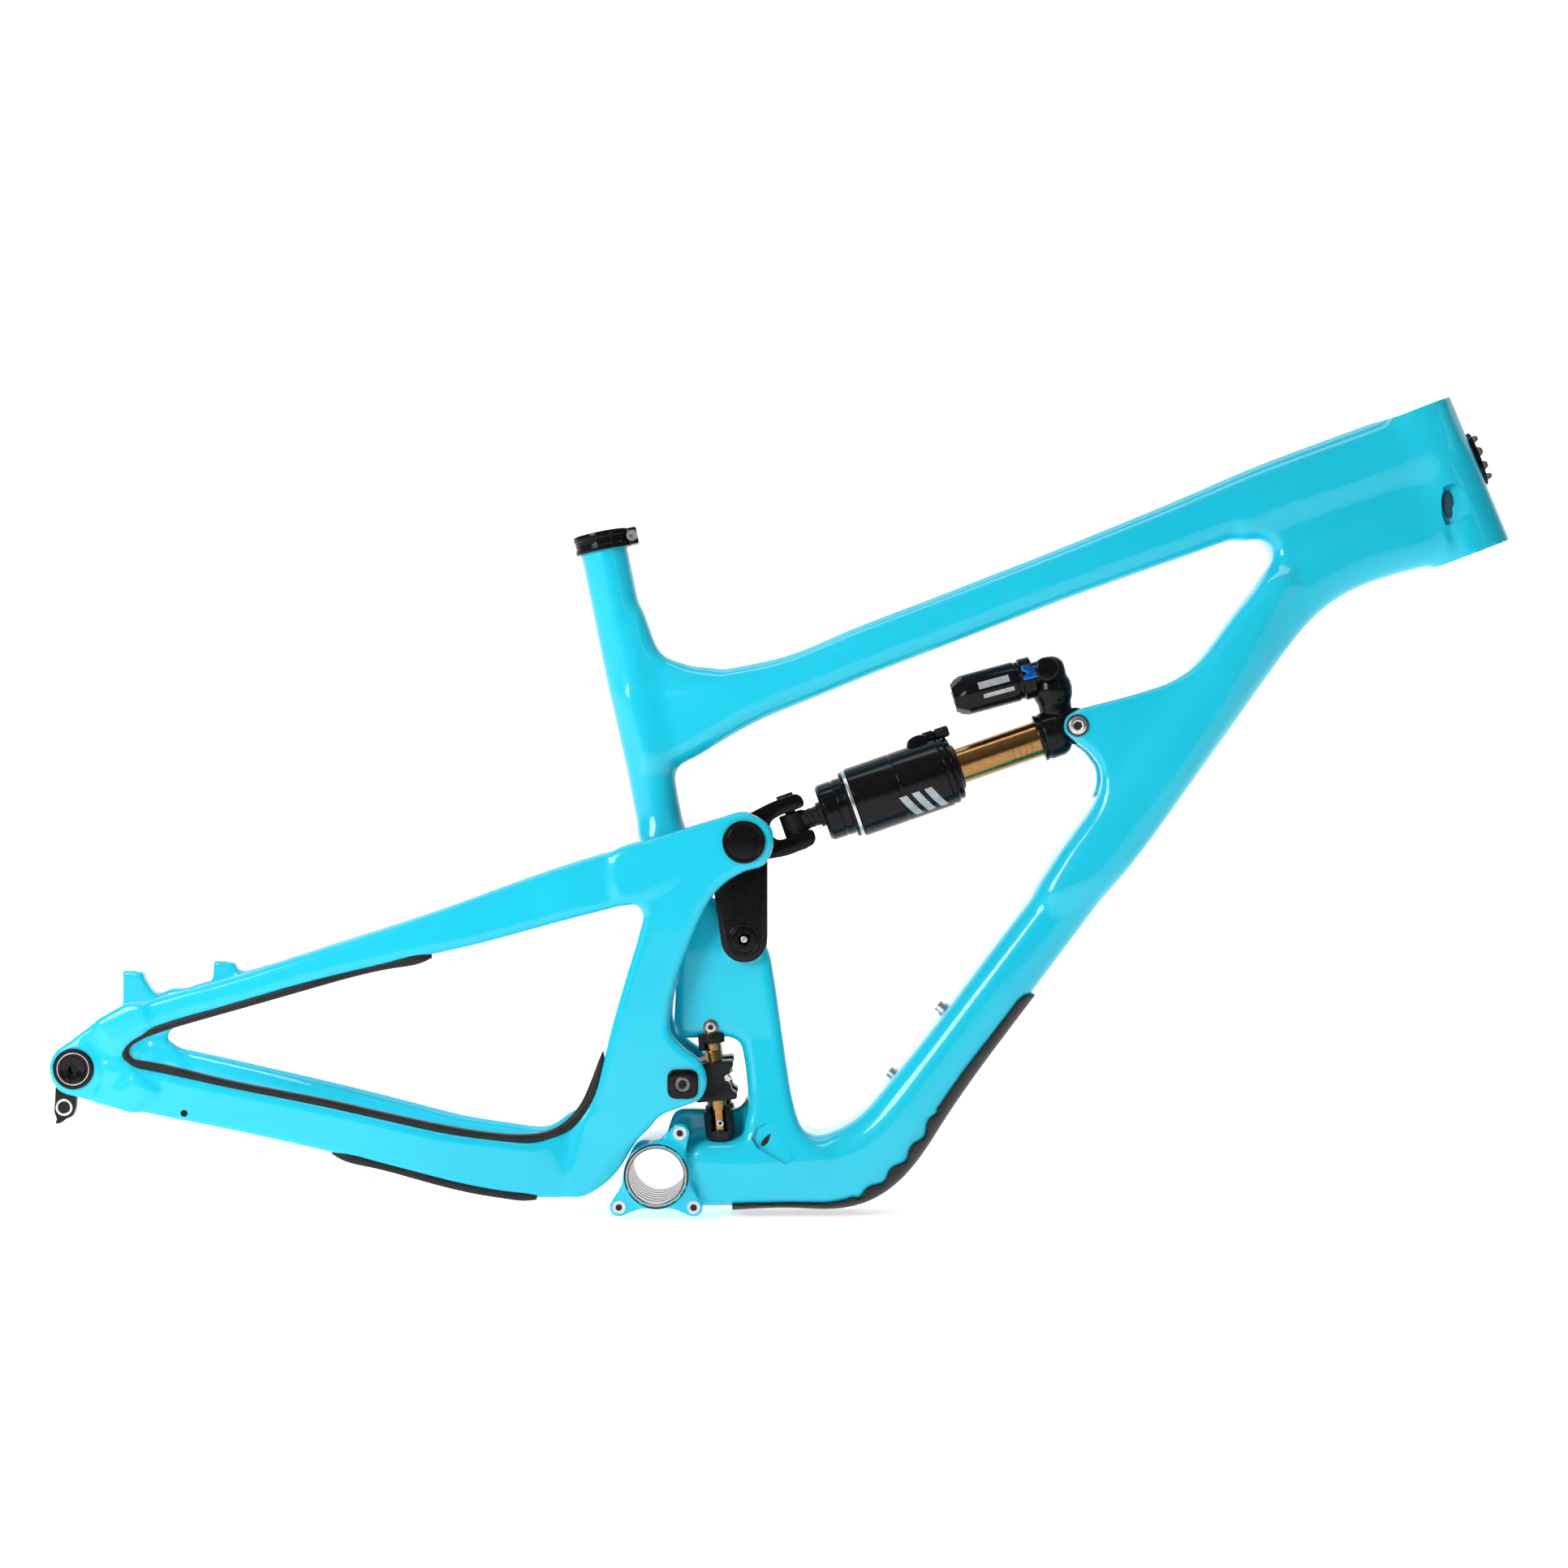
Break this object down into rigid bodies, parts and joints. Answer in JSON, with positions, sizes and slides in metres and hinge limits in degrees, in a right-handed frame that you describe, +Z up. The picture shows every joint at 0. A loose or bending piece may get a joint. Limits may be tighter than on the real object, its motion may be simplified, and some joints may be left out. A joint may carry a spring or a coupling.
{
  "type": "bicycle frame",
  "caption": "Full-suspension mountain bicycle frame with swingarm, rocker link, sliding lower pivot and air shock.",
  "frame": {"origin": "centre of the bottom bracket bore", "axes": "+X towards the front wheel, +Z up, +Y along the bottom bracket axis to the rider's left"},
  "size_m": [1.0907, 0.172, 0.6195],
  "materials": {
    "frame_paint": "gloss clear coat",
    "black_alloy": "black anodised",
    "steel": "satin",
    "gold_anodised": "polished bronze gold",
    "blue_anodised": "blue anodised",
    "rubber": "matt moulded"
  },
  "bodies": {
    "front_frame": {"bottom_bracket_shell": "frame_paint", "bottom_bracket_sleeve": "black_alloy", "iscg_plate": "black_alloy", "iscg_inserts": "steel", "bottom_bracket_junction": "frame_paint", "down_tube": "frame_paint", "top_tube": "frame_paint", "head_gusset": "frame_paint", "head_tube": "frame_paint", "headset_seat_lower": "steel", "headset_seat_upper": "steel", "head_badge": "black_alloy", "cable_ports": "rubber", "seat_tube": "frame_paint", "seat_mast": "frame_paint", "mast_foot": "frame_paint", "rails": "gold_anodised", "rail_mounts": "black_alloy", "shock_mount_ear_right": "frame_paint", "shock_mount_ear_left": "frame_paint", "shock_mount_core": "frame_paint", "shock_bolt": "steel", "seat_clamp": "black_alloy", "seat_clamp_bolt": "steel", "bottle_bolts": "steel", "down_tube_guard": "rubber", "link_axle": "steel"},
    "link": {"link_plate_right": "black_alloy", "link_plate_left": "black_alloy", "link_bearings": "steel", "upper_axle": "steel"},
    "swingarm": {"upright_right": "frame_paint", "upright_left": "frame_paint", "seatstay_right": "frame_paint", "seatstay_left": "frame_paint", "chainstay_right": "frame_paint", "chainstay_left": "frame_paint", "dropout_left": "frame_paint", "dropout_right": "frame_paint", "derailleur_hanger": "black_alloy", "rear_axle": "black_alloy", "swingarm_bridge_upper": "frame_paint", "swingarm_bridge_lower": "frame_paint", "arm_bearings": "steel", "upper_pivot_caps": "black_alloy", "lower_pivot_caps": "black_alloy", "brake_posts": "frame_paint", "stay_guards": "rubber", "chainstay_guard": "rubber"},
    "carriage": {"carriage": "black_alloy", "carriage_axle": "steel", "grease_ports": "steel"},
    "shock_body": {"shock_head": "black_alloy", "shock_shaft": "gold_anodised", "reservoir": "black_alloy"},
    "shock_can": {"air_can": "black_alloy", "shock_eye": "black_alloy", "shock_yoke": "black_alloy", "yoke_bolt": "steel"},
    "lever": {"climb_lever": "blue_anodised"}
  },
  "joints": [
    {"name": "link_pivot", "type": "hinge", "parent": "front_frame", "child": "link", "pos_m": [0.0655, 0, 0.1765], "axis": [0, 1, 0], "range_deg": [0, 40]},
    {"name": "swingarm_pivot", "type": "hinge", "parent": "link", "child": "swingarm", "pos_m": [0.0655, 0, 0.2498], "axis": [0, 1, 0], "range_deg": [-24.2, 0]},
    {"name": "carriage_slide", "type": "slide", "parent": "front_frame", "child": "carriage", "axis": [-0.0955, 0, 0.9954], "range_m": [0, 0.0043]},
    {"name": "shock_pivot", "type": "hinge", "parent": "front_frame", "child": "shock_body", "pos_m": [0.3166, 0, 0.3371], "axis": [0, 1, 0], "range_deg": [-7.3, 0]},
    {"name": "shock_stroke", "type": "slide", "parent": "shock_body", "child": "shock_can", "axis": [0.9445, 0, 0.3284], "range_m": [0, 0.039]},
    {"name": "climb_lever", "type": "hinge", "parent": "shock_body", "child": "lever", "pos_m": [0.296, -0.0178, 0.381], "axis": [0, 1, 0], "range_deg": [-35, 20]}
  ],
  "couplings": [
    {"joint": "swingarm_pivot", "follows": "link_pivot", "ratio": -0.598},
    {"joint": "carriage_slide", "follows": "link_pivot", "m_per_rad": 0.006},
    {"joint": "shock_pivot", "follows": "link_pivot", "ratio": -0.178},
    {"joint": "shock_stroke", "follows": "link_pivot", "m_per_rad": 0.0555}
  ]
}
